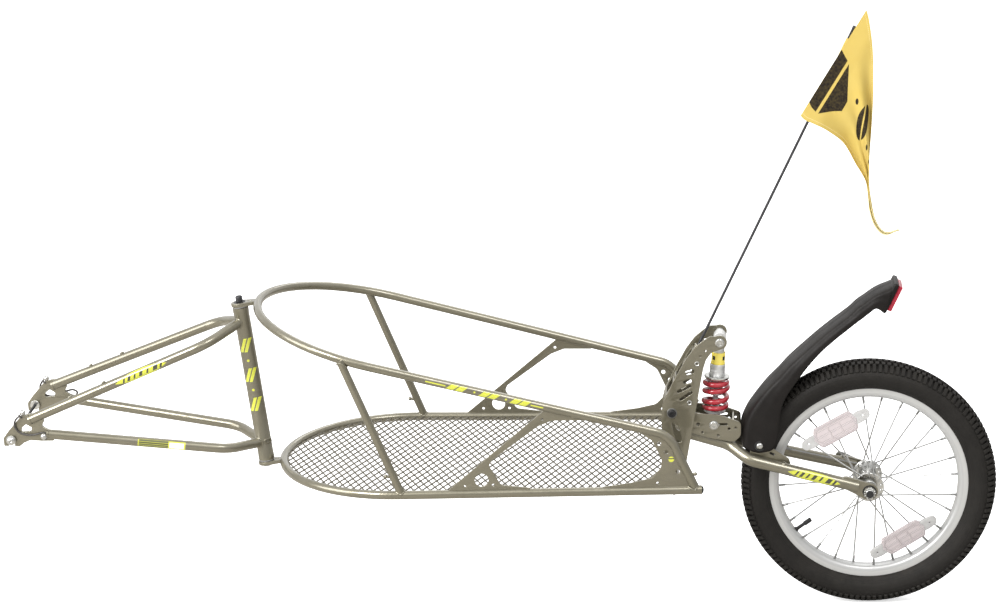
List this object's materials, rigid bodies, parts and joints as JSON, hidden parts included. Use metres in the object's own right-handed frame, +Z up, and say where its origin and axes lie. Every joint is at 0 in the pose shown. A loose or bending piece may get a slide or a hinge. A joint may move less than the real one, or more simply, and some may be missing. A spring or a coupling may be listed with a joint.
{
  "type": "single wheel bicycle trailer",
  "caption": "Single wheel cargo trailer: a fork hung on the bicycle axle steers a tubular frame with a net floor, sprung swingarm, spoked wheel, fender and safety flag.",
  "frame": {"origin": "middle of the hitch axle line, which the bicycle's rear axle carries", "axes": "+X to the rear, +Y to the trailer's right side, +Z up"},
  "size_m": [1.5916, 0.414, 0.9724],
  "materials": {
    "frame_paint": "satin champagne paint",
    "net_wire": "satin champagne paint",
    "silver_metal": "bright",
    "dark_steel": "blackened",
    "black_plastic": "fine grain",
    "tyre_rubber": "matt",
    "spring_paint": "gloss red",
    "collar_plastic": "smooth",
    "flag_cloth": "thin woven cloth",
    "pole_fibre": "smooth",
    "red_lens": "prismatic lens",
    "clear_lens": "prismatic lens",
    "spoke_wire": "bright",
    "lanyard_cord": "coated cord"
  },
  "bodies": {
    "load_frame": {"top_rail": "frame_paint", "low_rail": "frame_paint", "strut_left": "frame_paint", "strut_right": "frame_paint", "front_gusset_left": "frame_paint", "front_gusset_right": "frame_paint", "rear_gusset_left": "frame_paint", "rear_gusset_right": "frame_paint", "rear_cross_tube": "frame_paint", "bed_net": "net_wire", "upper_bracket": "frame_paint", "lower_bracket": "frame_paint", "head_bolt": "dark_steel", "tower_plate_left": "frame_paint", "tower_plate_right": "frame_paint", "tower_web": "frame_paint", "pivot_bolt": "dark_steel", "upper_shock_bolt": "silver_metal"},
    "fork": {"head_tube": "frame_paint", "upper_bushing": "black_plastic", "lower_bushing": "black_plastic", "upper_arm_left": "frame_paint", "upper_arm_right": "frame_paint", "lower_arm_left": "frame_paint", "lower_arm_right": "frame_paint", "dropout_left": "frame_paint", "dropout_right": "frame_paint", "lanyard_left": "lanyard_cord", "lanyard_right": "lanyard_cord", "bobbin_left": "silver_metal", "bobbin_right": "silver_metal", "hitch_rod": "dark_steel"},
    "pin_left": {"retaining_pin_left": "silver_metal"},
    "pin_right": {"retaining_pin_right": "silver_metal"},
    "swingarm": {"swing_box": "frame_paint", "swing_leg_left": "frame_paint", "swing_leg_right": "frame_paint", "fender": "black_plastic", "tail_reflector": "red_lens", "fender_bolt_left": "silver_metal", "fender_bolt_right": "silver_metal", "lower_shock_bolt": "silver_metal", "wheel_axle": "silver_metal", "wheel_skewer": "silver_metal"},
    "wheel": {"rim": "silver_metal", "tyre": "tyre_rubber", "hub_shell": "silver_metal", "spokes_left": "spoke_wire", "spokes_right": "spoke_wire", "valve": "black_plastic", "spoke_reflector_upper": "clear_lens", "spoke_reflector_lower": "clear_lens"},
    "lever": {"skewer_lever": "silver_metal"},
    "shock_upper": {"shock_body": "silver_metal", "shock_collar": "collar_plastic", "spring": "spring_paint"},
    "preload": {"preload_nut": "silver_metal"},
    "shock_rod": {"shock_shaft": "silver_metal"},
    "flag": {"flag_pole": "pole_fibre", "flag": "flag_cloth"}
  },
  "joints": [
    {"name": "steering", "type": "hinge", "parent": "load_frame", "child": "fork", "pos_m": [0.3826, 0, 0.061], "axis": [-0.1115, 0, 0.9938], "range_deg": [-75, 75]},
    {"name": "suspension", "type": "hinge", "parent": "load_frame", "child": "swingarm", "pos_m": [1.06025, 0, 0.01256], "axis": [0, -1, 0], "range_deg": [0, 13.2], "stiffness_Nm_per_rad": 900},
    {"name": "wheel_spin", "type": "hinge", "parent": "swingarm", "child": "wheel", "pos_m": [1.37375, 0, -0.11544], "axis": [0, 1, 0], "continuous": true},
    {"name": "lever_turn", "type": "hinge", "parent": "swingarm", "child": "lever", "pos_m": [1.37375, 0.0731, -0.11544], "axis": [-0.3795, 0, -0.9252], "range_deg": [0, 180]},
    {"name": "shock_eye", "type": "hinge", "parent": "load_frame", "child": "shock_upper", "pos_m": [1.13825, 0, 0.12956], "axis": [0, -1, 0], "range_deg": [0, 1.03]},
    {"name": "shock_stroke", "type": "slide", "parent": "shock_upper", "child": "shock_rod", "axis": [0.0825, 0, 0.9966], "range_m": [0, 0.01593], "deforming": ["spring"]},
    {"name": "preload_turn", "type": "hinge", "parent": "shock_upper", "child": "preload", "pos_m": [1.13277, 0, 0.06328], "axis": [0.0825, 0, 0.9966], "range_deg": [-180, 180]},
    {"name": "pin_left_pull", "type": "slide", "parent": "fork", "child": "pin_left", "axis": [0.42, 0, 0.9075], "range_m": [0, 0.012]},
    {"name": "pin_right_pull", "type": "slide", "parent": "fork", "child": "pin_right", "axis": [0.42, 0, 0.9075], "range_m": [0, 0.012]},
    {"name": "pole_lift", "type": "slide", "parent": "load_frame", "child": "flag", "axis": [0.4371, 0, 0.8994], "range_m": [0, 0.03]}
  ],
  "couplings": [
    {"joint": "shock_eye", "follows": "suspension", "ratio": 0.0781},
    {"joint": "shock_stroke", "follows": "suspension", "m_per_rad": 0.06914}
  ]
}
